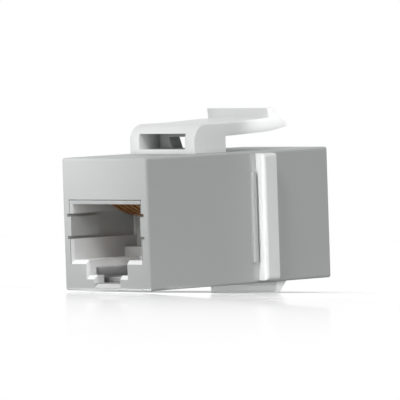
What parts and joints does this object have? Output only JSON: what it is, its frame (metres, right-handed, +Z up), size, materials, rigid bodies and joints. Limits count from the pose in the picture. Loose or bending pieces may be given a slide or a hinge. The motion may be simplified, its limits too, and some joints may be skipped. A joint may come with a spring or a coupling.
{
  "type": "keystone coupler",
  "caption": "Inline keystone coupler: a plug port at each end of a boxy body, with side stop ribs, a fixed lug and a sprung latch arm that snap it into a panel opening.",
  "frame": {"origin": "centre of the body's section, in the plane of the ribs' stop faces, where the body seats on the back of the panel", "axes": "+Y is the way the body goes into the panel, +Z up towards the latch, X across"},
  "size_m": [0.0176, 0.0308, 0.0224],
  "materials": {
    "grey_shell": "fine moulded satin",
    "white_insert": "moulded satin",
    "white_latch": "moulded satin",
    "carrier": "moulded matt",
    "contact_alloy": "plated spring wire",
    "board": "solder mask"
  },
  "bodies": {
    "coupler": {"cable_side_shell": "grey_shell", "panel_side_shell": "grey_shell", "cable_side_jack": "white_insert", "panel_side_jack": "white_insert", "latch_bridge": "white_latch", "cable_side_carrier": "carrier", "panel_side_carrier": "carrier", "circuit_board": "board", "cable_side_contact_1": "contact_alloy", "cable_side_contact_2": "contact_alloy", "cable_side_contact_3": "contact_alloy", "cable_side_contact_4": "contact_alloy", "cable_side_contact_5": "contact_alloy", "cable_side_contact_6": "contact_alloy", "cable_side_contact_7": "contact_alloy", "cable_side_contact_8": "contact_alloy", "panel_side_contact_1": "contact_alloy", "panel_side_contact_2": "contact_alloy", "panel_side_contact_3": "contact_alloy", "panel_side_contact_4": "contact_alloy", "panel_side_contact_5": "contact_alloy", "panel_side_contact_6": "contact_alloy", "panel_side_contact_7": "contact_alloy", "panel_side_contact_8": "contact_alloy"},
    "latch": {"latch_arm": "white_latch"}
  },
  "joints": [
    {"name": "latch_press", "type": "hinge", "parent": "coupler", "child": "latch", "pos_m": [0, -0.00525, 0.00989], "axis": [-1, 0, 0], "range_deg": [0, 10], "stiffness_Nm_per_rad": 0.35}
  ]
}
